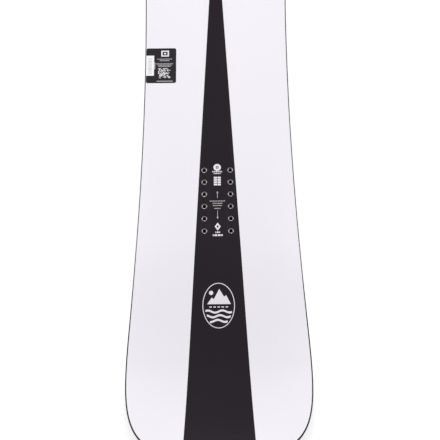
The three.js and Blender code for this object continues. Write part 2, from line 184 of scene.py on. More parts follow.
class SNOWBOARD_PG_print(bpy.types.PropertyGroup):
    """The printed graphic and its colours"""

    stripe_half: size("Stripe half width", "Half the stripe's width at the rear pack", 30.1)
    stripe_taper: number("Stripe taper", "Loss of half width along the board", 0.05435)
    deck: colour("Deck", "Topsheet", (0.80, 0.78, 0.832))
    stripe: colour("Stripe", "Printed stripe", (0.0105, 0.0058, 0.0098))
    ink: colour("Ink", "Bright printed marks", (0.74, 0.72, 0.76))
    dim_ink: colour("Dim ink", "Small printed lines", (0.42, 0.40, 0.42))
    ink_height: size("Ink height", "How far the print stands over its ground", 0.03)
    seed: bpy.props.IntProperty(
        name="Seed", description="Seed of the random patterns", default=11, subtype="UNSIGNED"
    )


class SNOWBOARD_PG_stage(bpy.types.PropertyGroup):
    """Floor, light and camera"""

    floor: colour("Floor", "Plain floor", (0.95, 0.95, 0.95))
    floor_size: size("Floor size", "Side of the floor", 14000)
    glow: number("Floor glow", "Light that the floor gives off, as a light table does", 0.32)
    sky: number("Sky", "Strength of the even light", 0.55)
    side_power: number("Side light", "Power of each side softbox in watts", 26)
    nose_power: number("Nose light", "Power of the softbox beyond the nose in watts", 18)
    distance: size("Camera distance", "From the aim to the camera", 1510.4)
    tilt: angle("Camera tilt", "Away from straight down", 21.166)
    roll: angle("Camera roll", "Turn about the line of sight", -0.568)
    aside: size("Camera aside", "Aim to the right of the rear pack's middle", 3.56)
    along: size("Camera along", "Aim ahead of the rear pack's middle", -32.48)
    lens: number("Lens", "Focal length in mm on a 36 mm sensor", 81.82)


GROUPS = {
    "snowboard_outline": SNOWBOARD_PG_outline,
    "snowboard_layers": SNOWBOARD_PG_layers,
    "snowboard_insert": SNOWBOARD_PG_insert,
    "snowboard_print": SNOWBOARD_PG_print,
    "snowboard_stage": SNOWBOARD_PG_stage,
}


def settings(name):
    return getattr(bpy.context.scene, "snowboard_" + name)


# ---- Shape of the board ------------------------------------------------------------------------


def smooth(t):
    t = min(max(t, 0.0), 1.0)
    return t * t * (3 - 2 * t)


def level_deck():
    """Where the level deck starts and ends."""
    margin = settings("outline").deck_margin
    return PACK_Y["rear"] - margin, PACK_Y["front"] + margin


def kick(radius, slope, distance):
    """Height at a distance past a contact: an arc, then straight at the full slope."""
    arc = min(distance, slope * radius)
    return arc * arc / (2 * radius) + slope * (distance - arc)


def base_height(y):
    """The base's underside over the floor."""
    o = settings("outline")
    half = o.contact_length / 2
    if y < CONTACT_Y["tail"] - half:
        return kick(o.tail_kick_radius, o.tail_slope, CONTACT_Y["tail"] - half - y)
    if y > CONTACT_Y["nose"] + half:
        return kick(o.nose_kick_radius, o.nose_slope, y - CONTACT_Y["nose"] - half)
    tail_foot, nose_foot = CONTACT_Y["tail"] + half, CONTACT_Y["nose"] - half
    tail_top, nose_top = level_deck()
    up = smooth((y - tail_foot) / (tail_top - tail_foot))
    down = smooth((nose_foot - y) / (nose_foot - nose_top))
    return o.camber * min(up, down)


def core_thickness(y):
    s = settings("layers")
    tail_top, nose_top = level_deck()
    up = smooth((y - CONTACT_Y["tail"]) / (tail_top - CONTACT_Y["tail"]))
    down = smooth((CONTACT_Y["nose"] - y) / (CONTACT_Y["nose"] - nose_top))
    return s.core_thin + (s.core_thick - s.core_thin) * min(up, down)


def over_base(height):
    return lambda y: base_height(y) + height


def over_core(height):
    """Height over the core's top, which lies two skins under the level deck."""
    o, s = settings("outline"), settings("layers")
    level = DECK_Z - 2 * s.skin - o.camber - s.core_thick + height
    return lambda y: level + base_height(y) + core_thickness(y)


def over_deck(height):
    return over_core(2 * settings("layers").skin + height)


def side_half(y):
    o = settings("outline")
    return o.waist_width / 2 + (y - WAIST_Y) ** 2 / (2 * o.sidecut_radius)


def tip_curve(end, turns=600):
    """Points of one end, from where it leaves the right side to the middle of the tip."""
    o = settings("outline")
    reach, squareness = getattr(o, end + "_reach"), getattr(o, end + "_squareness")
    points = []
    for turn in np.linspace(0, math.pi / 2, turns):
        y = TIP_Y[end] - FORWARD[end] * reach * (1 - math.sin(turn) ** (2 / squareness))
        points.append((side_half(y) * max(math.cos(turn), 0) ** (2 / squareness), y))
    points[-1] = (0.0, TIP_Y[end])
    return points


def run_along(points):
    """The length from a line's start to each of its points."""
    return np.concatenate([[0], np.cumsum(np.hypot(*np.diff(points, axis=0).T))])


def resample(points, at):
    """Points of a line at lengths from its start."""
    run = run_along(points)
    return np.stack([np.interp(at, run, points[:, k]) for k in (0, 1)], axis=1)


def stripe_half(y):
    """Half the printed stripe's width."""
    p = settings("print")
    return p.stripe_half - p.stripe_taper * (y - PACK_Y["rear"])


def stripe_start(points):
    """How far along the outline the stripe's border leaves it."""
    beyond = points[:, 0] - stripe_half(points[:, 1])
    first = int(np.argmax(beyond > 0))
    last_two = slice(first - 1, first + 1)
    return np.interp(0, beyond[last_two], run_along(points)[last_two])


class Outline:
    """The right half of the outline, from the tail's middle to the nose's middle. It has a point
    on each side of the joints between sidewalls and spacers, and one at the stripe's border."""

    def __init__(self):
        tail, nose = tip_curve("tail")[::-1], tip_curve("nose")
        side = [(side_half(y), y) for y in np.linspace(tail[-1][1], nose[0][1], 400)[1:-1]]
        dense = np.array(tail + side + nose)
        run = run_along(dense)
        steps = round(run[-1] / settings("outline").step)
        gap = settings("layers").gap
        joints = [y + FORWARD[end] * k for end, y in JOINT_Y.items() for k in (0, gap)]
        extra = [*np.interp(joints, dense[:, 1], run), stripe_start(dense)]
        at = np.concatenate([np.linspace(0, run[-1], steps + 1), extra])
        self.points = resample(dense, np.sort(at))
        along = np.gradient(self.points, axis=0)
        along[0], along[-1] = (1, 0), (-1, 0)
        along /= np.hypot(along[:, 0], along[:, 1])[:, None]
        self.inward = np.stack([-along[:, 1], along[:, 0]], axis=1)

    def inset(self, distance):
        """The right half moved in by a distance."""
        moved = self.points + self.inward * distance
        moved[:, 0] = np.maximum(moved[:, 0], 0)
        return moved

    def loop(self, distance):
        """The whole outline moved in, anticlockwise from the tail's middle."""
        right = self.inset(distance)
        return np.concatenate([right, right[-2:0:-1] * (-1, 1)])


def insert_centres():
    """The middle of each insert by its node's name."""
    names = [n for n in frame["nodes"] if n.startswith("insert_") and "_pad_" not in n]
    return {name: sum(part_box(name), Vector((0, 0, 0))) / 2 for name in names}


def oval(x, y, half_x, half_y, count=64, clockwise=False):
    turns = np.linspace(0, 2 * math.pi, count, endpoint=False) * (-1 if clockwise else 1)
    return [(x + half_x * math.cos(t), y + half_y * math.sin(t)) for t in turns]


# ---- Meshes ------------------------------------------------------------------------------------


def add_object(name, mesh):
    piece = bpy.data.objects.new(name, mesh)
    bpy.context.scene.collection.objects.link(piece)
    return piece


def make_mesh(name, vertices, faces, materials=(), slots=None):
    mesh = bpy.data.meshes.new(name)
    mesh.from_pydata([tuple(map(float, v)) for v in vertices], [], faces)
    for material in materials:
        mesh.materials.append(material)
    if slots is not None:
        mesh.polygons.foreach_set("material_index", slots)
    mesh.polygons.foreach_set("use_smooth", [True] * len(mesh.polygons))
    mesh.update()
    return mesh


def face_outwards(mesh):
    """Merges doubles and turns every face of a closed mesh out."""
    work = bmesh.new()
    work.from_mesh(mesh)
    bmesh.ops.remove_doubles(work, verts=work.verts, dist=1e-7)
    bmesh.ops.recalc_face_normals(work, faces=work.faces)
    work.to_mesh(mesh)
    work.free()


def sharpen(mesh, degrees=30):
    """Keeps edges steeper than an angle crisp."""
    mesh.set_sharp_from_angle(angle=math.radians(degrees))


def settle(piece, nodes=()):
    """Puts a finished piece on the board's one body."""
    if nodes:
        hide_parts(*nodes)
    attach(piece, "root")


def sweep(name, rings, material):
    """A solid through rings of corners, capped at both ends."""
    count = len(rings[0])
    last = (len(rings) - 1) * count
    faces = [tuple(range(count)), tuple(range(last, last + count))]
    for low in range(0, last, count):
        for j in range(count):
            k = (j + 1) % count
            faces.append((low + j, low + k, low + count + k, low + count + j))
    mesh = make_mesh(name, [corner for ring in rings for corner in ring], faces, [material])
    face_outwards(mesh)
    sharpen(mesh)
    return add_object(name, mesh)


def inside(points, loop):
    """Which points lie inside a closed loop."""
    x, y = points[:, 0], points[:, 1]
    hit = np.zeros(len(points), bool)
    for (x0, y0), (x1, y1) in zip(loop, np.roll(loop, -1, axis=0)):
        if y0 != y1:
            crosses = (y0 > y) != (y1 > y)
            hit ^= crosses & (x < (x1 - x0) * (y - y0) / (y1 - y0) + x0)
    return hit


def fill(loop, holes=(), pairs=(), lines=()):
    """Anticlockwise triangles between a loop and its holes, cut along lines and between numbered
    pairs of the loop's points. Returns points, triangles and each border's point numbers."""
    grow = 1 / MM  # the triangulation works best on numbers near 1
    merge = 1e-5  # points nearer than this, in millimetres, become one
    points, edges, borders = [], list(pairs), []
    for border in (loop, *holes):
        first, count = len(points), len(border)
        points += [Vector(map(float, p)) * grow for p in border]
        borders.append(range(first, first + count))
        edges += [(first + i, first + (i + 1) % count) for i in range(count)]
    for start, end in lines:
        edges.append((len(points), len(points) + 1))
        points += [Vector(start) * grow, Vector(end) * grow]
    made, _, faces, origins, _, _ = delaunay_2d_cdt(points, edges, [], 0, merge, True)
    flat, corners = np.array([tuple(point) for point in made]) / grow, np.array(faces)
    keep = inside(flat[corners].mean(axis=1), np.array(loop))
    for hole in holes:
        keep &= ~inside(flat[corners].mean(axis=1), np.array(hole))
    corners = corners[keep]
    (ax, ay), (bx, by), (cx, cy) = (flat[corners[:, k]].T for k in range(3))
    clockwise = (bx - ax) * (cy - ay) < (by - ay) * (cx - ax)
    corners[clockwise] = corners[clockwise][:, ::-1]
    used = np.unique(corners)
    home = {origin: np.searchsorted(used, i) for i, group in enumerate(origins) for origin in group}
    numbers = [[int(home[origin]) for origin in border] for border in borders]
    return flat[used], np.searchsorted(used, corners).tolist(), numbers


class Shell:
    """One closed skin, gathered from filled faces and the walls between their borders."""

    def __init__(self):
        self.vertices, self.faces = [], []

    def ring(self, points, height):
        first = len(self.vertices)
        self.vertices += [(x, y, height(y)) for x, y in points]
        return list(range(first, len(self.vertices)))

    def face(self, loop, height, up, **cuts):
        """Fills a loop and returns the numbers of its borders' points."""
        flat, triangles, borders = fill(loop, **cuts)
        numbers = self.ring(flat, height)
        for triangle in triangles:
            turned = triangle if up else triangle[::-1]
            self.faces.append(tuple(numbers[i] for i in turned))
        return [[numbers[i] for i in border] for border in borders]

    def wall(self, upper, lower):
        """Joins a border to the one below it. The solid lies to the left of its direction."""
        for i, (a, b) in enumerate(zip(upper, lower)):
            k = (i + 1) % len(upper)
            self.faces.append((a, b, lower[k], upper[k]))

    def walls(self, top, rings, bottom):
        """Joins a top border through rings of (points, height) to a bottom border."""
        before = top
        for points, height in rings:
            now = self.ring(points, height)
            self.wall(before, now)
            before = now
        self.wall(before, bottom)


def rounding(radius, steps=3):
    """How far out and down the points of a rounded corner lie, without its first."""
    turns = np.linspace(0, math.pi / 2, steps + 1)[1:]
    return [(radius * math.sin(t), radius * (1 - math.cos(t))) for t in turns]


def stations(loop):
    """Pairs of loop points at equal y, wherever the deck isn't level."""
    low, high = level_deck()
    count = len(loop)
    return [(i, count - i) for i in range(1, count // 2) if not low + MM < loop[i][1] < high - MM]


def sheet(name, rim, materials, hole_rim=(), lines_in=lambda loop: (), slot_at=None):
    """A sheet over the whole board. rim holds (inset, height) from the top face round the border
    to the underside, and hole_rim holds (radius, height) in the same order for every hole. lines_in
    gives the lines that cut a face, and slot_at the material slot at a place."""
    outline = Outline()
    centres = list(insert_centres().values()) if hole_rim else []
    shell = Shell()

    def round_hole(centre, radius):
        return oval(centre.x, centre.y, radius, radius, HOLE_SIDES, True)

    def face(k, up):
        inset, height = rim[k]
        loop = outline.loop(inset)
        holes = [round_hole(centre, hole_rim[k][0]) for centre in centres]
        return shell.face(loop, height, up, holes=holes, pairs=stations(loop), lines=lines_in(loop))

    top, bottom = face(0, True), face(-1, False)
    shell.walls(top[0], [(outline.loop(inset), height) for inset, height in rim[1:-1]], bottom[0])
    for centre, upper, lower in zip(centres, top[1:], bottom[1:]):
        rings = [(round_hole(centre, radius), height) for radius, height in hole_rim[1:-1]]
        shell.walls(upper, rings, lower)
    slots = None
    if slot_at:
        middles = [np.mean([shell.vertices[i][:2] for i in face], axis=0) for face in shell.faces]
        slots = [slot_at(x, y) for x, y in middles]
    mesh = make_mesh(name, shell.vertices, shell.faces, materials, slots)
    sharpen(mesh, degrees=50)
    return add_object(name, mesh)


def split_at(loop, cuts):
    """A loop with a point wherever it crosses one of the cuts, which are places along y."""
    points = []
    for (x0, y0), (x1, y1) in zip(loop, [*loop[1:], loop[0]]):
        points.append((x0, y0))
        crossed = sorted((y for y in cuts if min(y0, y1) < y < max(y0, y1)), reverse=y1 < y0)
        points += [(x0 + (x1 - x0) * (y - y0) / (y1 - y0), y) for y in crossed]
    return points


def plates(name, shapes, material, top, bottom, row=None):
    """Thin flat solids. A shape is a loop, or a pair of a loop and its hole. Rows cut the solids
    where they lie on a curve."""
    shell = Shell()
    for entry in shapes:
        loop, holes = (entry[0], [entry[1]]) if isinstance(entry, tuple) else (entry, [])
        low, high = np.min(loop, axis=0), np.max(loop, axis=0)
        cuts = np.arange(low[1] + row, high[1], row) if row else ()
        lines = [((low[0] - MM, y), (high[0] + MM, y)) for y in cuts]
        loop, holes = split_at(loop, cuts), [split_at(hole, cuts) for hole in holes]
        upper = shell.face(loop, top, True, holes=holes, lines=lines)
        lower = shell.face(loop, bottom, False, holes=holes, lines=lines)
        for above, below in zip(upper, lower):
            shell.wall(above, below)
    mesh = make_mesh(name, shell.vertices, shell.faces, [material])
    face_outwards(mesh)
    sharpen(mesh)
    return add_object(name, mesh)


# ---- Node trees --------------------------------------------------------------------------------


FLOAT, VECTOR, OBJECT = "NodeSocketFloat", "NodeSocketVector", "NodeSocketObject"
GEOMETRY, MATERIAL, INTEGER = "NodeSocketGeometry", "NodeSocketMaterial", "NodeSocketInt"


def node_tree(name, kind, inputs, outputs):
    """A node tree with named sockets, and the sockets of its two end nodes."""
    tree = bpy.data.node_groups.new(name, kind)
    for title, socket_kind, value in inputs:
        socket = tree.interface.new_socket(title, in_out="INPUT", socket_type=socket_kind)
        if value is not None:
            socket.default_value = value
    for title, socket_kind in outputs:
        tree.interface.new_socket(title, in_out="OUTPUT", socket_type=socket_kind)
    return tree, tree.nodes.new("NodeGroupInput").outputs, tree.nodes.new("NodeGroupOutput").inputs


def add_node(tree, kind, sockets=None, **values):
    """A node with its properties. Each input is linked to a given socket, or set to a value."""
    node = tree.nodes.new(kind)
    for key, value in values.items():
        setattr(node, key, value)
    for key, value in (sockets or {}).items():
        if isinstance(value, bpy.types.NodeSocket):
            tree.links.new(value, node.inputs[key])
        else:
            node.inputs[key].default_value = value
    return node


def give(tree, result, **sockets):
    """Links sockets to the tree's outputs and returns the tree."""
    for title, socket in sockets.items():
        tree.links.new(socket, result[title])
    return tree


def realize(tree, copies, given, result):
    """Ends a tree that sets copies: real geometry with its material."""
    real = add_node(tree, "GeometryNodeRealizeInstances", {0: copies.outputs[0]})
    sockets = {"Geometry": real.outputs[0], "Material": given["Material"]}
    painted = add_node(tree, "GeometryNodeSetMaterial", sockets)
    return give(tree, result, Geometry=painted.outputs[0])


def tab_tree():
    """Anchor tabs set along a line of edges, turned with it."""
    tree, given, result = node_tree(
        "anchor_tabs", "GeometryNodeTree",
        [("Line", GEOMETRY, None), ("Pitch", FLOAT, 0.06), ("Length", FLOAT, 0.034),
         ("Depth", FLOAT, 0.003), ("Thickness", FLOAT, 0.0006), ("Material", MATERIAL, None)],
        [("Geometry", GEOMETRY)],
    )
    curve = add_node(tree, "GeometryNodeMeshToCurve", {"Mesh": given["Line"]}).outputs[0]
    spaced = {"Curve": curve, "Length": given["Pitch"]}
    points = add_node(tree, "GeometryNodeCurveToPoints", spaced, mode="LENGTH").outputs
    sides = {"X": given["Depth"], "Y": given["Length"], "Z": given["Thickness"]}
    block = add_node(tree, "ShaderNodeCombineXYZ", sides).outputs[0]
    tab = add_node(tree, "GeometryNodeMeshCube", {"Size": block}).outputs["Mesh"]
    along = {"Vector": points["Tangent"]}
    turn = add_node(tree, "FunctionNodeAlignRotationToVector", along, axis="Y").outputs[0]
    copies = add_node(tree, "GeometryNodeInstanceOnPoints", {
        "Points": points["Points"], "Instance": tab, "Rotation": turn,
    })
    return realize(tree, copies, given, result)


def pack_tree():
    """Copies of one insert set on points, each turned by its own amount."""
    tree, given, result = node_tree(
        "insert_pack", "GeometryNodeTree",
        [("Places", GEOMETRY, None), ("Insert", OBJECT, None), ("Seed", INTEGER, 0),
         ("Material", MATERIAL, None)],
        [("Geometry", GEOMETRY)],
    )
    pattern = add_node(tree, "GeometryNodeObjectInfo", {"Object": given["Insert"]})
    points = add_node(tree, "GeometryNodeMeshToPoints", {0: given["Places"]})
    turns = {0: (0, 0, 0), 1: (0, 0, 2 * math.pi), "Seed": given["Seed"]}
    spin = add_node(tree, "FunctionNodeRandomValue", turns, data_type="FLOAT_VECTOR")
    copies = add_node(tree, "GeometryNodeInstanceOnPoints", {
        "Points": points.outputs[0], "Instance": pattern.outputs["Geometry"],
        "Rotation": spin.outputs["Value"],
    })
    return realize(tree, copies, given, result)


def run_tree(source, tree, values):
    """The plain mesh that a geometry node tree makes from an object, which is then removed."""
    modifier = source.modifiers.new("Build", "NODES")
    modifier.node_group = tree
    for item in tree.interface.items_tree:
        if item.in_out == "INPUT" and item.name in values:
            modifier[item.identifier] = values[item.name]
    graph = bpy.context.evaluated_depsgraph_get()
    graph.update()
    mesh = bpy.data.meshes.new_from_object(source.evaluated_get(graph), depsgraph=graph)
    bpy.data.objects.remove(source)
    return mesh


def noise(tree, place, scale, detail, roughness=0.5):
    """The value of a noise pattern at a place."""
    sockets = {"Vector": place, "Scale": scale, "Detail": detail, "Roughness": roughness}
    return add_node(tree, "ShaderNodeTexNoise", sockets).outputs["Fac"]


def stretched(tree, place, factors):
    """A place with each coordinate multiplied by its own factor."""
    sockets = {0: place, 1: factors}
    return add_node(tree, "ShaderNodeVectorMath", sockets, operation="MULTIPLY").outputs[0]


def streaks_tree():
    """Fine lines that run along one axis: grinding, brushing, sanding."""
    tree, given, result = node_tree(
        "streaks", "ShaderNodeTree",
        [("Position", VECTOR, None), ("Across", VECTOR, (4000, 60, 4000))],
        [("Lines", FLOAT), ("Patches", FLOAT)],
    )
    place = given["Position"]
    lines = noise(tree, stretched(tree, place, given["Across"]), 1.0, 3.0, 0.65)
    return give(tree, result, Lines=lines, Patches=noise(tree, place, 22.0, 4.0, 0.55))


def satin_tree():
    """The faint orange peel and slow haze of a moulded or printed satin sheet."""
    tree, given, result = node_tree(
        "satin", "ShaderNodeTree",
        [("Position", VECTOR, None), ("Peel", FLOAT, 900.0), ("Haze", FLOAT, 9.0)],
        [("Height", FLOAT), ("Mottle", FLOAT)],
    )
    place = given["Position"]
    peel, haze = noise(tree, place, given["Peel"], 2.0), noise(tree, place, given["Haze"], 5.0, 0.6)
    return give(tree, result, Height=peel, Mottle=haze)


def grain_tree():
    """Long wood grain in bands, with small pores."""
    tree, given, result = node_tree(
        "grain", "ShaderNodeTree",
        [("Position", VECTOR, None), ("Bands", FLOAT, 180.0)],
        [("Band", FLOAT), ("Pores", FLOAT)],
    )
    place = given["Position"]
    bands = add_node(tree, "ShaderNodeTexWave", {
        "Vector": stretched(tree, place, (1.0, 0.05, 1.0)), "Scale": given["Bands"],
        "Distortion": 6.0, "Detail": 3.0, "Detail Scale": 1.4,
    }, wave_type="BANDS", bands_direction="X")
    pores = noise(tree, stretched(tree, place, (3000.0, 90.0, 3000.0)), 1.0, 2.0)
    return give(tree, result, Band=bands.outputs["Fac"], Pores=pores)


def depth_tree():
    """How far down a hole a point lies, from 1 at the mouth to 0 in the dark."""
    tree, given, result = node_tree(
        "depth", "ShaderNodeTree",
        [("Position", VECTOR, None), ("Mouth", FLOAT, 0.0), ("Dark", FLOAT, 0.0)],
        [("Light", FLOAT)],
    )
    height = add_node(tree, "ShaderNodeSeparateXYZ", {0: given["Position"]}).outputs["Z"]
    span = {0: height, 1: given["Dark"], 2: given["Mouth"]}
    ramp = add_node(tree, "ShaderNodeMapRange", span, interpolation_type="SMOOTHSTEP")
    return give(tree, result, Light=ramp.outputs[0])


PATTERNS = {"streaks": streaks_tree, "satin": satin_tree, "grain": grain_tree, "depth": depth_tree}


def pattern_tree(name):
    return bpy.data.node_groups.get(name) or PATTERNS[name]()


# ---- Materials ---------------------------------------------------------------------------------


def shade(base, by):
    return tuple(min(1.0, channel * by) for channel in base)


class Finish:
    """A material with a Principled shader, and the ways its patterns reach that shader."""

    def __init__(self, name, base, rough, metallic=0.0, specular=0.5):
        self.material = bpy.data.materials.new(name)
        self.material.use_nodes = True
        self.tree = self.material.node_tree
        self.shader = self.tree.nodes["Principled BSDF"].inputs
        constants = {
            "Base Color": (*base, 1), "Roughness": rough, "Metallic": metallic,
            "Specular IOR Level": specular,
        }
        for key, value in constants.items():
            self.shader[key].default_value = value
        self.position = self.tree.nodes.new("ShaderNodeTexCoord").outputs["Object"]

    def pattern(self, name, **values):
        """Outputs of a shared pattern with this material's values."""
        values["Position"] = self.position
        return add_node(self.tree, "ShaderNodeGroup", values, node_tree=pattern_tree(name)).outputs

    def paint(self, mask, low, high):
        """Base colour from one colour to another by a mask."""
        sockets = {0: mask, 6: (*low, 1), 7: (*high, 1)}
        mixed = add_node(self.tree, "ShaderNodeMix", sockets, data_type="RGBA")
        self.tree.links.new(mixed.outputs[2], self.shader["Base Color"])

    def vary_roughness(self, mask, low, high):
        spread = add_node(self.tree, "ShaderNodeMapRange", {0: mask, 3: low, 4: high})
        self.tree.links.new(spread.outputs[0], self.shader["Roughness"])

    def relief(self, height, strength, distance):
        sockets = {"Height": height, "Strength": strength, "Distance": distance}
        bump = add_node(self.tree, "ShaderNodeBump", sockets)
        self.tree.links.new(bump.outputs[0], self.shader["Normal"])


def satin(name, base, rough, variation=0.03, relief=0.05, **values):
    """Smooth sheet or film with faint peel and haze."""
    made = Finish(name, base, rough, **values)
    surface = made.pattern("satin")
    made.paint(surface["Mottle"], shade(base, 1 - variation), shade(base, 1 + variation))
    made.vary_roughness(surface["Mottle"], rough * 0.9, rough * 1.1)
    made.relief(surface["Height"], relief, 0.02 * MM)
    return made.material


def lined(name, base, rough, across, variation=0.1, relief=0.2, **values):
    """Ground, brushed or sanded surface."""
    made = Finish(name, base, rough, **values)
    surface = made.pattern("streaks", Across=across)
    made.paint(surface["Lines"], shade(base, 1 - variation), shade(base, 1 + variation))
    made.vary_roughness(surface["Patches"], rough * 0.8, rough * 1.25)
    made.relief(surface["Lines"], relief, 0.05 * MM)
    return made.material


def planed_wood(name, early, late):
    made = Finish(name, early, 0.62, specular=0.3)
    surface = made.pattern("grain")
    made.paint(surface["Band"], early, late)
    made.relief(surface["Pores"], 0.25, 0.1 * MM)
    return made.material


def bore_with_painted_shade(name, bright, dark):
    """Steel with painted shade: its colour darkens down the bore, where little light gets in."""
    made = Finish(name, dark, 0.32, metallic=1.0)
    top = INSERT_BOX[1].z
    dark_from = top - settings("insert").mouth_depth - 0.35 * MM
    # painted shade: the base colour runs from bright steel at the mouth to near black down the bore
    deep = made.pattern("depth", Mouth=top, Dark=dark_from)
    made.paint(deep["Light"], dark, bright)
    surface = made.pattern("streaks", Across=(700, 700, 9000))
    made.vary_roughness(surface["Patches"], 0.26, 0.38)
    made.relief(surface["Lines"], 0.15, 0.03 * MM)
    return made.material


FINISHES = {
    "deck_white": lambda: satin(
        "deck_white", settings("print").deck, 0.34, variation=0.006, relief=0.03, specular=0.4
    ),
    "deck_stripe": lambda: satin(
        "deck_stripe", settings("print").stripe, 0.4, variation=0.10, relief=0.05, specular=0.2
    ),
    "ink_bright": lambda: satin("ink_bright", settings("print").ink, 0.4),
    "ink_dim": lambda: satin(
        "ink_dim", settings("print").dim_ink, 0.45, variation=0.05, specular=0.3
    ),
    "label_film": lambda: satin(
        "label_film", (0.016, 0.0145, 0.016), 0.4, variation=0.15, relief=0.04, specular=0.2
    ),
    "label_paper": lambda: satin(
        "label_paper", (0.84, 0.84, 0.85), 0.55, variation=0.015, relief=0.1, specular=0.3
    ),
    "edge_steel": lambda: lined(
        "edge_steel", (0.07, 0.07, 0.073), 0.42, (3000, 40, 3000), metallic=1.0
    ),
    "insert_steel": lambda: lined(
        "insert_steel", (0.26, 0.255, 0.265), 0.32, (700, 700, 9000), variation=0.08, metallic=1.0
    ),
    # the bore's base colour carries painted shade, darker the deeper it lies
    "insert_bore": lambda: bore_with_painted_shade("insert_bore", (0.28, 0.275, 0.285), (0.012, 0.011, 0.012)),
    "wall_black": lambda: lined(
        "wall_black", (0.010, 0.010, 0.011), 0.5, (900, 30, 5000), variation=0.2, specular=0.2
    ),
    "base_black": lambda: lined(
        "base_black", (0.014, 0.014, 0.015), 0.34, (2600, 18, 400), variation=0.35, relief=0.5,
        specular=0.4,
    ),
    "laminate": lambda: lined(
        "laminate", (0.045, 0.045, 0.042), 0.42, (1400, 1400, 300), variation=0.12, specular=0.2
    ),
    "foil_rubber": lambda: satin("foil_rubber", (0.012, 0.012, 0.012), 0.8, variation=0.2),
    "pad": lambda: satin("pad", (0.03, 0.05, 0.04), 0.7, variation=0.15),
    "softwood": lambda: planed_wood("softwood", (0.62, 0.44, 0.25), (0.48, 0.31, 0.15)),
    "hardwood": lambda: planed_wood("hardwood", (0.42, 0.25, 0.11), (0.28, 0.15, 0.06)),
}


def finish(name):
    return bpy.data.materials.get(name) or FINISHES[name]()


# ---- Layers ------------------------------------------------------------------------------------


def in_stripe(x, y):
    return int(abs(x) < stripe_half(y))


def stripe_lines(loop):
    """The stripe's two borders, from the tail's rim to where they meet."""
    p = settings("print")
    apex = (0, PACK_Y["rear"] + p.stripe_half / p.stripe_taper)
    tail = [i for i in range(1, len(loop) // 2) if loop[i][1] < WAIST_Y]
    foot = min(tail, key=lambda i: abs(loop[i][0] - stripe_half(loop[i][1])))
    return [(loop[foot], apex), (loop[-foot], apex)]


def rounded_rim(outer, radius, inward):
    """A border from the deck's top round a small rounding to the topsheet's underside."""
    rim = [(outer + inward * radius, over_deck(0))]
    rim += [(outer + inward * (radius - out), over_deck(-down)) for out, down in rounding(radius)]
    return rim + [(outer, over_core(settings("layers").skin))]


def build_topsheet():
    s, i = settings("layers"), settings("insert")
    rim = rounded_rim(s.topsheet_inset, s.rim_round, 1)
    hole = rounded_rim(i.hole, s.ease, 1)
    materials = [finish("deck_white"), finish("deck_stripe")]
    piece = sheet("topsheet_printed", rim, materials, hole, stripe_lines, in_stripe)
    settle(piece, ["topsheet"])


def build_laminates():
    s, i = settings("layers"), settings("insert")
    rim = [(s.bevel_inset, over_core(s.skin)), (s.bevel_inset, over_core(0))]
    hole = [(i.hole, over_core(s.skin)), (i.hole, over_core(0))]
    upper = sheet("laminate_upper", rim, [finish("laminate")], hole)
    settle(upper, ["upper_laminate"])
    rim = [
        (s.laminate_inset, over_base(s.laminate_top)), (s.laminate_inset, over_base(s.foil_top)),
        (s.foil_inset, over_base(s.foil_top)), (s.foil_inset, over_base(s.base_top)),
    ]
    lower = sheet("laminate_lower", rim, [finish("laminate")])
    settle(lower, ["lower_laminate"])


def build_base():
    s = settings("layers")
    inset = s.steel_width + BASE_JOINT
    rim = [(inset, over_base(s.base_top)), (inset, over_base(0))]
    settle(sheet("base_ground", rim, [finish("base_black")]), ["base_sheet"])


def wall_corners():
    """The outer face of sidewalls and spacers as (inset, height), from the foot to the top."""
    s = settings("layers")
    lean = s.bevel_inset - s.foot_inset
    return [
        (s.foot_inset, over_base(s.wall_foot)),
        (s.foot_inset + 0.9 * lean, over_core(-2 * s.ease)),
        (s.bevel_inset + s.ease, over_core(0)),
    ]


def beyond_joint(y, end):
    """Whether y is on the spacer's side of a joint."""
    return FORWARD[end] * (y - JOINT_Y[end]) > settings("layers").gap / 2


def build_sidewalls():
    s = settings("layers")
    outline = Outline()
    corners = wall_corners() + [
        (s.wall_depth, over_core(0)), (s.wall_depth, over_base(s.wall_foot))
    ]
    lines = [outline.inset(inset) for inset, _ in corners]
    between = [
        i for i, (_, y) in enumerate(outline.points)
        if not any(beyond_joint(y, end) for end in TIP_Y)
    ]
    for side, sign in SIDES.items():
        rings = [
            [(sign * line[i][0], line[i][1], height(line[i][1]))
             for line, (_, height) in zip(lines, corners)]
            for i in between
        ]
        piece = sweep(f"sidewall_{side}_sanded", rings, finish("wall_black"))
        settle(piece, [f"sidewall_{side}"])


def core_border(outline, order, end):
    """The core's border at one end, from the sidewall's end round to the board's axis."""
    s = settings("layers")
    forward = FORWARD[end]
    radius = getattr(s, f"core_{end}_radius") + s.gap
    centre = TIP_Y[end] - forward * (getattr(s, f"core_to_{end}") + radius - s.gap)
    side = [
        (x, y) for x, y in outline.inset(s.wall_depth)[order]
        if forward * (y - centre) < 0 or math.hypot(x, y - centre) < radius
    ]
    start = math.acos(min(1.0, side[-1][0] / radius))
    arc = [
        (radius * math.cos(turn), centre + forward * radius * math.sin(turn))
        for turn in np.linspace(start, math.pi / 2, 60)[1:]
    ]
    return np.array(side + arc)


def spacer_rings(end, across=10):
    """Cross-sections of one spacer's right half, from the sidewall to the axis."""
    outline = Outline()
    order = [i for i, (_, y) in enumerate(outline.points) if beyond_joint(y, end)][:: FORWARD[end]]
    border = core_border(outline, order, end)
    run = run_along(outline.points[order])
    inner = resample(border, run / run[-1] * run_along(border)[-1])
    corners = wall_corners()
    lines = [outline.inset(inset)[order] for inset, _ in corners]
    top, under = over_core(0), over_base(settings("layers").wall_foot)
    rings = []
    for i, back in enumerate(inner):
        ring = [(*line[i], height(line[i][1])) for line, (_, height) in zip(lines[:2], corners)]
        rows = np.linspace(lines[2][i], back, across)
        ring += [(x, y, top(y)) for x, y in rows]
        ring += [(x, y, under(y)) for x, y in rows[::-1]]
        rings.append(ring)
    return rings


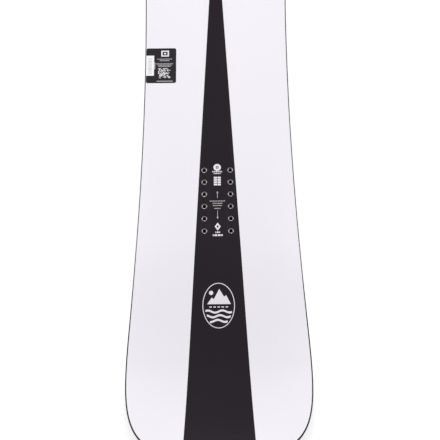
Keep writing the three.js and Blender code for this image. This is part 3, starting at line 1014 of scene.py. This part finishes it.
def build_spacers():
    for end in TIP_Y:
        right = spacer_rings(end)
        left = [[(-x, y, z) for x, y, z in ring] for ring in right[-2::-1]]
        piece = sweep(f"tip_spacer_{end}_sanded", right + left, finish("wall_black"))
        settle(piece, [f"tip_spacer_{end}"])


def edge_rings(outline, sign):
    """The steel's cross-sections along one side, eased where they are seen."""
    s = settings("layers")
    root = s.steel_width + s.flange_root
    corners = [
        (s.steel_width, 0), (s.ease, 0), (0, s.ease), (0, s.steel_top - s.ease),
        (s.ease, s.steel_top), (root, s.steel_top), (root, s.flange_foot),
        (s.steel_width, s.flange_foot),
    ]
    lines = [outline.inset(inset) for inset, _ in corners]
    return [
        [(sign * max(line[i][0], s.gap / 2), line[i][1], base_height(line[i][1]) + height)
         for line, (_, height) in zip(lines, corners)]
        for i in range(len(outline.points))
    ]


def edge_tabs(outline, sign, tree):
    """One side's anchor tabs, kept clear of the butt joints at the tips."""
    s = settings("layers")
    thickness, overlap = s.steel_top - s.flange_foot, 0.1 * MM
    inset = s.steel_width + s.flange_root + s.tab_depth / 2 - overlap
    line = [
        (sign * x, y, base_height(y) + s.steel_top - thickness / 2)
        for x, y in outline.inset(inset) if x > s.tab_length
    ]
    path = bpy.data.meshes.new("tab_line")
    path.from_pydata(line, [(i, i + 1) for i in range(len(line) - 1)], [])
    return run_tree(add_object("tab_line", path), tree, {
        "Pitch": s.tab_pitch, "Length": s.tab_length, "Depth": s.tab_depth,
        "Thickness": thickness - overlap, "Material": finish("edge_steel"),
    })


def build_edges():
    outline, tree = Outline(), tab_tree()
    for side, sign in SIDES.items():
        piece = sweep(f"edge_{side}_ground", edge_rings(outline, sign), finish("edge_steel"))
        joined = bmesh.new()
        joined.from_mesh(piece.data)
        joined.from_mesh(edge_tabs(outline, sign, tree))
        joined.to_mesh(piece.data)
        joined.free()
        piece.data.polygons.foreach_set("material_index", [0] * len(piece.data.polygons))
        sharpen(piece.data)
        settle(piece, [f"edge_{side}"])


# ---- Inserts -----------------------------------------------------------------------------------


def insert_rows(rows_per_turn=5):
    """(radius, height, thread) from the foot's middle round the outside and down the bore. Heights
    count down from the rim, and thread says how much of the thread's depth a row takes."""
    i, ease = settings("insert"), settings("layers").ease
    foot = INSERT_BOX[0].z - INSERT_BOX[1].z
    shoulder, bottom = foot + i.flange_height, foot + i.floor
    rows = [
        (0, foot, 0), (i.flange, foot, 0), (i.flange, shoulder, 0), (i.barrel, shoulder, 0),
        (i.barrel, -ease, 0), (i.barrel - ease, 0, 0), (i.mouth, 0, 0),
        (i.major, -i.mouth_depth, 0),
    ]
    lead_in, run_under = 0.1 * MM, 0.4 * MM
    start, end = -i.mouth_depth - lead_in, bottom + run_under
    for z in np.linspace(start, end, round((start - end) / i.pitch * rows_per_turn)):
        run_out = min(start - z, z - end) / (0.5 * i.pitch)
        rows.append((i.minor, z, min(1.0, run_out)))
    return rows + [(i.minor, bottom + ease, 0), (i.minor - ease, bottom, 0), (0, bottom, 0)]


def insert_mesh(count=28):
    """One threaded insert, its rim at the origin."""
    i = settings("insert")
    vertices, faces = [], []
    for radius, z, thread in insert_rows():
        for k in range(count):
            turn = 2 * math.pi * k / count
            wave = (z / i.pitch + k / count) % 1.0
            r = radius + (i.major - i.minor) * thread * (1 - abs(2 * wave - 1))
            vertices.append((r * math.cos(turn), r * math.sin(turn), z))
    for low in range(0, len(vertices) - count, count):
        for k in range(count):
            n = (k + 1) % count
            faces.append((low + k, low + n, low + count + n, low + count + k))
    mesh = make_mesh("insert_pattern", vertices, faces)
    face_outwards(mesh)
    sharpen(mesh, degrees=25)
    return mesh


def finish_bores(mesh, centres):
    """Gives the faces inside the mouths the bore's finish, with its painted shade down the bore,
    and the rest the steel's.
    """
    i = settings("insert")
    mesh.materials.clear()
    mesh.materials.append(finish("insert_steel"))
    mesh.materials.append(finish("insert_bore"))
    lowest, highest = INSERT_BOX[0].z + i.floor / 2, INSERT_BOX[1].z - 0.02 * MM
    slots = []
    for face in mesh.polygons:
        x, y, z = face.center
        near = min(math.hypot(x - c.x, y - c.y) for c in centres)
        slots.append(int(near < i.mouth - 0.2 * MM and lowest < z < highest))
    mesh.polygons.foreach_set("material_index", slots)


def build_inserts():
    pattern = add_object("insert_pattern", insert_mesh())
    tree = pack_tree()
    centres = insert_centres()
    for index, pack in enumerate(PACK_Y):
        names = sorted(n for n in centres if n.startswith(f"insert_{pack}_"))
        places = bpy.data.meshes.new("insert_places")
        places.from_pydata([(centres[n].x, centres[n].y, INSERT_BOX[1].z) for n in names], [], [])
        mesh = run_tree(add_object("insert_places", places), tree, {
            "Insert": pattern, "Seed": settings("print").seed + index,
            "Material": finish("insert_steel"),
        })
        finish_bores(mesh, [centres[n] for n in names])
        settle(add_object(f"inserts_{pack}", mesh), names)
    bpy.data.objects.remove(pattern)


# ---- Printed marks -----------------------------------------------------------------------------


def bar(x, y, width, height):
    """A plain bar about its middle."""
    w, h = width / 2, height / 2
    return [(x - w, y - h), (x + w, y - h), (x + w, y + h), (x - w, y + h)]


def dashes(x, y, width, height, draw):
    """A row of plain dashes, as wide and high as a line of small print."""
    row, at, end = [], x - width / 2, x + width / 2
    while at < end - 0.4 * height:
        run = min(draw.uniform(0.5, 1.5) * height, end - at)
        row.append(bar(at + run / 2, y, run, height))
        at += run + 0.35 * height
    return row


def arrow(x, y, reach, direction):
    """A slim arrow about its middle, pointing along the board."""
    stem, head, barb = 0.4 * MM, 1.6 * MM, 3.4 * MM
    tip, foot = y + direction * reach / 2, y - direction * reach / 2
    neck = tip - direction * barb
    loop = [
        (x - stem, foot), (x + stem, foot), (x + stem, neck), (x + head, neck), (x, tip),
        (x - head, neck), (x - stem, neck),
    ]
    return loop[::direction]


def pack_marks():
    """Marks between the rear pack's columns: bright ones, and small dim ones."""
    draw = random.Random(settings("print").seed)
    at = lambda v: PACK_Y["rear"] + v * MM
    dial, diamond = at(54.5), at(-43)
    bright = [
        (oval(0, dial, 5.8 * MM, 5.8 * MM, 40), oval(0, dial, 2.2 * MM, 2.2 * MM, 24, True)),
        oval(0, dial, 1.0 * MM, 1.0 * MM, 20),
    ]
    bright += dashes(0, at(47.3), 15 * MM, 1.9 * MM, draw)
    bright += dashes(0, at(44.3), 11 * MM, 1.5 * MM, draw)
    for row in range(4):
        bright += [bar(x * MM, at(37.3 - 3.8 * row), 4.9 * MM, 3 * MM) for x in (-2.85, 2.85)]
    bright.append(
        (oval(0, diamond, 4.6 * MM, 6.4 * MM, 4), oval(0, diamond, 1.7 * MM, 2.4 * MM, 4, True))
    )
    bright += dashes(0, at(-52.2), 7 * MM, 2.2 * MM, draw)
    bright += dashes(0, at(-56.9), 15 * MM, 2.8 * MM, draw)
    dim = [arrow(0, at(9.2), 11.5 * MM, 1), arrow(0, at(-24), 13.5 * MM, -1)]
    for width, v in ((23.5, -1.5), (15, -5.2), (14, -8.8), (10, -13.6)):
        dim += dashes(0, at(v), width * MM, 1.5 * MM, draw)
    return bright, dim


def badge_marks():
    """A plain oval badge: a hill range and a low sun over a row of blocks and three waves."""
    x0, y0 = 0.4 * MM, PACK_Y["rear"] - 165 * MM
    at = lambda x, v: (x0 + x * MM, y0 + v * MM)
    marks = [(oval(x0, y0, 23.8 * MM, 34 * MM), oval(x0, y0, 22.7 * MM, 32.9 * MM, clockwise=True))]
    ridge = [(18, 2), (11, 15.5), (8, 13), (1, 25), (-7, 9.5), (-10, 12), (-17, 2)]
    marks.append([at(*peak) for peak in ridge])
    marks.append(oval(*at(-11, 19), 3.2 * MM, 3.2 * MM, 32))
    marks += [bar(*at(x, -2.2), 3.6 * MM, 1.5 * MM) for x in (-12, -6, 0, 6, 12)]
    for index, (half, v) in enumerate(((19.5, -7.5), (17.5, -14.5), (13, -21.5))):
        crest = [(x, v + 1.6 * math.sin(x / 3.4 + index)) for x in np.linspace(-half, half, 40)]
        low = [at(x, w - 3) for x, w in crest]
        marks.append(low + [at(*point) for point in reversed(crest)])
    return marks


def build_marks():
    lift = settings("print").ink_height
    bright, dim = pack_marks()
    for name, marks, material in (
        ("print_marks", bright, "ink_bright"), ("print_lines", dim, "ink_dim"),
        ("print_badge", badge_marks(), "ink_bright"),
    ):
        piece = plates(name, marks, finish(material), over_deck(lift), over_deck(-lift / 3), 2 * MM)
        settle(piece)


# ---- Labels ------------------------------------------------------------------------------------


def label_loop(corner=3 * MM, gap=0.25 * MM):
    """The label's outline, with round corners and the notch that the barcode sticker sits in."""
    low, high = LABEL_BOX
    code_low, code_high = BARCODE_BOX

    def round_corner(x, y, start):
        turns = np.linspace(start, start + math.pi / 2, 9)
        return [(x + corner * math.cos(t), y + corner * math.sin(t)) for t in turns]

    loop = round_corner(low.x + corner, low.y + corner, math.pi)
    loop += round_corner(high.x - corner, low.y + corner, 1.5 * math.pi)
    loop += round_corner(high.x - corner, high.y - corner, 0)
    loop += round_corner(low.x + corner, high.y - corner, math.pi / 2)
    notch_x, notch_low, notch_high = code_high.x + gap, code_low.y - gap, code_high.y + gap
    return loop + [
        (low.x, notch_high), (notch_x, notch_high), (notch_x, notch_low), (low.x, notch_low)
    ]


def label_marks(draw):
    """Plain marks on the label: a framed square, rows of dashes, a block of cells and a rule."""
    corner = LABEL_BOX[1]
    at = lambda dx, dy: (corner.x - dx * MM, corner.y - dy * MM)
    bright = [
        (bar(*at(17.8, 9.8), 12.6 * MM, 11 * MM), bar(*at(17.8, 9.8), 8 * MM, 6.6 * MM)[::-1]),
        bar(*at(17.8, 9.8), 3.4 * MM, 2.8 * MM),
    ]
    cell, pitch = 1.35 * MM, 1.5
    for i in range(13):
        for j in range(12):
            if draw.random() < 0.5:
                bright.append(bar(*at(28 - i * pitch, 37.5 + j * pitch), cell, cell))
    bright.append(bar(*at(18, 60.2), 26 * MM, 0.8 * MM))
    dim = [bar(*at(34.3, 32), 1.6 * MM, 13 * MM)]
    for dy, width in ((20, 24), (22.9, 16), (28.6, 27), (31, 23), (33.4, 20)):
        dim += dashes(*at(18.2, dy), width * MM, 1.5 * MM, draw)
    return bright, dim


def code_bars(draw):
    """Plain bars across the barcode sticker."""
    low, high = BARCODE_BOX
    bars, y = [], low.y + 4 * MM
    while y < high.y - 4 * MM:
        width = draw.choice((0.25, 0.4, 0.6)) * MM
        bars.append(bar((low.x + high.x) / 2, y, 6.5 * MM, width))
        y += width + draw.choice((0.6, 0.9, 1.3)) * MM
    return bars


def build_labels():
    draw = random.Random(settings("print").seed + 1)
    lift = settings("print").ink_height
    film_top, thickness = DECK_Z + 0.22 * MM, 0.2 * MM
    level = lambda height: lambda y: height
    film = plates("care_label_film", [label_loop()], finish("label_film"),
                  level(film_top), level(film_top - thickness))
    settle(film, ["care_label"])
    low, high = BARCODE_BOX
    sticker = bar((low.x + high.x) / 2, (low.y + high.y) / 2, high.x - low.x, high.y - low.y)
    paper = plates("barcode_paper", [sticker], finish("label_paper"),
                   level(film_top + lift), level(film_top + lift - thickness))
    settle(paper, ["barcode_label"])
    bright, dim = label_marks(draw)
    for name, marks, material, ground in (
        ("label_marks", bright, "ink_bright", film_top), ("label_lines", dim, "ink_dim", film_top),
        ("barcode_bars", code_bars(draw), "ink_dim", film_top + lift),
    ):
        top, bottom = level(ground + lift), level(ground - lift / 3)
        settle(plates(name, marks, finish(material), top, bottom))


# ---- Frame nodes that stay ---------------------------------------------------------------------


def finish_core():
    """Gives the frame's own inner solids their finish."""
    kinds = {"core_stringer": "softwood", "damping_foil": "foil_rubber", "insert_pad": "pad"}
    for name, node in frame["nodes"].items():
        kind = next((kinds[start] for start in kinds if name.startswith(start)), None)
        if kind == "softwood" and name.endswith("_insert"):
            kind = "hardwood"
        if kind:
            for slot in node.material_slots:
                slot.material = finish(kind)


# ---- Stage -------------------------------------------------------------------------------------


def softbox(name, place, width, height, power):
    """A large soft light that looks at the rear pack."""
    data = bpy.data.lights.new(name, "AREA")
    data.shape = "RECTANGLE"
    data.size, data.size_y, data.energy = width, height, power
    light = bpy.data.objects.new(name, data)
    aim = Vector((0, PACK_Y["rear"], 0)) - Vector(place)
    light.location = place
    light.rotation_euler = aim.to_track_quat("-Z", "Y").to_euler()
    bpy.context.scene.collection.objects.link(light)


def build_floor():
    s, drop = settings("stage"), 0.1 * MM
    made = Finish("floor", s.floor, 0.9, specular=0.1)
    surface = made.pattern("satin", Peel=300.0, Haze=3.0)
    made.paint(surface["Mottle"], shade(s.floor, 0.995), shade(s.floor, 1.005))
    made.shader["Emission Color"].default_value = (1, 1, 1, 1)
    made.shader["Emission Strength"].default_value = s.glow
    corners = [(x, y, -drop) for x, y in bar(0, 0, s.floor_size, s.floor_size)]
    add_object("floor", make_mesh("floor", corners, [(0, 1, 2, 3)], [made.material]))


def build_light():
    s = settings("stage")
    world = bpy.context.scene.world or bpy.data.worlds.new("studio")
    bpy.context.scene.world = world
    world.use_nodes = True
    background = world.node_tree.nodes["Background"].inputs
    background["Color"].default_value = (1, 0.99, 1, 1)
    background["Strength"].default_value = s.sky
    for name, (place, face, power) in SOFTBOXES.items():
        softbox(name, place, *face, getattr(s, power))
    bpy.context.scene.view_settings.view_transform = "Standard"


def build_camera():
    s = settings("stage")
    aim = Vector((s.aside, PACK_Y["rear"] + s.along, DECK_Z))
    back = Vector((0, -math.sin(s.tilt), math.cos(s.tilt)))
    up, right = Vector((0, math.cos(s.tilt), math.sin(s.tilt))), Vector((1, 0, 0))
    turned_right = math.cos(s.roll) * right + math.sin(s.roll) * up
    turned_up = -math.sin(s.roll) * right + math.cos(s.roll) * up
    data = bpy.data.cameras.new("camera")
    data.lens, data.sensor_width = s.lens, 36
    camera = bpy.data.objects.new("camera", data)
    turn = Matrix((turned_right, turned_up, back)).transposed().to_4x4()
    camera.matrix_world = Matrix.Translation(aim + back * s.distance) @ turn
    bpy.context.scene.collection.objects.link(camera)
    bpy.context.scene.camera = camera


def build_stage():
    build_floor()
    build_light()
    build_camera()


# ---- Operators ---------------------------------------------------------------------------------


class SNOWBOARD_OT_topsheet(bpy.types.Operator):
    """Makes the printed topsheet with its insert holes"""

    bl_idname = "snowboard.topsheet"
    bl_label = "Topsheet"

    def execute(self, context):
        build_topsheet()
        return {"FINISHED"}


class SNOWBOARD_OT_laminates(bpy.types.Operator):
    """Makes the upper and the lower glass laminate"""

    bl_idname = "snowboard.laminates"
    bl_label = "Laminates"

    def execute(self, context):
        build_laminates()
        return {"FINISHED"}


class SNOWBOARD_OT_base(bpy.types.Operator):
    """Makes the ground base sheet"""

    bl_idname = "snowboard.base"
    bl_label = "Base"

    def execute(self, context):
        build_base()
        return {"FINISHED"}


class SNOWBOARD_OT_sidewalls(bpy.types.Operator):
    """Makes the two sanded sidewalls"""

    bl_idname = "snowboard.sidewalls"
    bl_label = "Sidewalls"

    def execute(self, context):
        build_sidewalls()
        return {"FINISHED"}


class SNOWBOARD_OT_spacers(bpy.types.Operator):
    """Makes the tip spacers round the core's ends"""

    bl_idname = "snowboard.spacers"
    bl_label = "Tip Spacers"

    def execute(self, context):
        build_spacers()
        return {"FINISHED"}


class SNOWBOARD_OT_edges(bpy.types.Operator):
    """Makes the two steel edges with their anchor tabs"""

    bl_idname = "snowboard.edges"
    bl_label = "Steel Edges"

    def execute(self, context):
        build_edges()
        return {"FINISHED"}


class SNOWBOARD_OT_inserts(bpy.types.Operator):
    """Makes the threaded inserts of both packs"""

    bl_idname = "snowboard.inserts"
    bl_label = "Inserts"

    def execute(self, context):
        build_inserts()
        return {"FINISHED"}


class SNOWBOARD_OT_marks(bpy.types.Operator):
    """Makes the printed marks and the badge on the deck"""

    bl_idname = "snowboard.marks"
    bl_label = "Printed Marks"

    def execute(self, context):
        build_marks()
        return {"FINISHED"}


class SNOWBOARD_OT_labels(bpy.types.Operator):
    """Makes the label and the barcode sticker by the left rail"""

    bl_idname = "snowboard.labels"
    bl_label = "Labels"

    def execute(self, context):
        build_labels()
        return {"FINISHED"}


class SNOWBOARD_OT_core(bpy.types.Operator):
    """Finishes the core, the damping foils and the insert pads"""

    bl_idname = "snowboard.core"
    bl_label = "Core"

    def execute(self, context):
        finish_core()
        return {"FINISHED"}


class SNOWBOARD_OT_stage(bpy.types.Operator):
    """Makes the floor, the light and the camera"""

    bl_idname = "snowboard.stage"
    bl_label = "Stage"

    def execute(self, context):
        build_stage()
        return {"FINISHED"}


OPERATORS = (
    SNOWBOARD_OT_topsheet, SNOWBOARD_OT_laminates, SNOWBOARD_OT_base, SNOWBOARD_OT_sidewalls,
    SNOWBOARD_OT_spacers, SNOWBOARD_OT_edges, SNOWBOARD_OT_inserts, SNOWBOARD_OT_marks,
    SNOWBOARD_OT_labels, SNOWBOARD_OT_core, SNOWBOARD_OT_stage,
)


class SNOWBOARD_PT_pieces(bpy.types.Panel):
    """Lists the snowboard's pieces and settings"""

    bl_idname = "SNOWBOARD_PT_pieces"
    bl_label = "Snowboard"
    bl_space_type = "VIEW_3D"
    bl_region_type = "UI"
    bl_category = "Snowboard"

    def draw(self, context):
        for operator in OPERATORS:
            self.layout.operator(operator.bl_idname)
        for attribute, group in GROUPS.items():
            box = self.layout.box()
            for name in group.__annotations__:
                box.prop(getattr(context.scene, attribute), name)


CLASSES = (*GROUPS.values(), *OPERATORS, SNOWBOARD_PT_pieces)


def register():
    for cls in CLASSES:
        bpy.utils.register_class(cls)
    for attribute, group in GROUPS.items():
        setattr(bpy.types.Scene, attribute, bpy.props.PointerProperty(type=group))


def unregister():
    for attribute in GROUPS:
        delattr(bpy.types.Scene, attribute)
    for cls in reversed(CLASSES):
        bpy.utils.unregister_class(cls)


def main():
    register()
    for operator in OPERATORS:
        name = operator.bl_idname.split(".")[1]
        getattr(bpy.ops.snowboard, name)()


if __name__ == "__main__":
    main()
